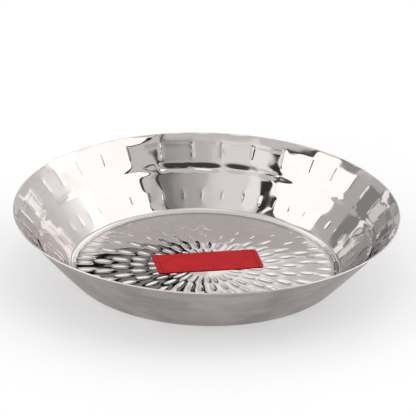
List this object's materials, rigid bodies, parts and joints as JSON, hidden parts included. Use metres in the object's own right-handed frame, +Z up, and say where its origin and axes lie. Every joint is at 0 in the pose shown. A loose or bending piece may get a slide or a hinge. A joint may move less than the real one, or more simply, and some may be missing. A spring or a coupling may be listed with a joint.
{
  "type": "snack plate",
  "caption": "Round deep snack plate of pressed steel sheet with a straight flared wall, a flat floor, punched marks inside and a blank peel-off label.",
  "frame": {"origin": "middle of the flat underside, at table height", "axes": "+Z up through the middle of the plate, +X to the right and +Y to the back as the label is read"},
  "size_m": [0.18, 0.18, 0.03],
  "materials": {
    "steel": "mirror polished inside with punched marks, satin outside",
    "label_film": "printed film, satin gloss"
  },
  "bodies": {
    "root": {"plate_body": "steel", "peel_off_label": "label_film"}
  },
  "joints": []
}
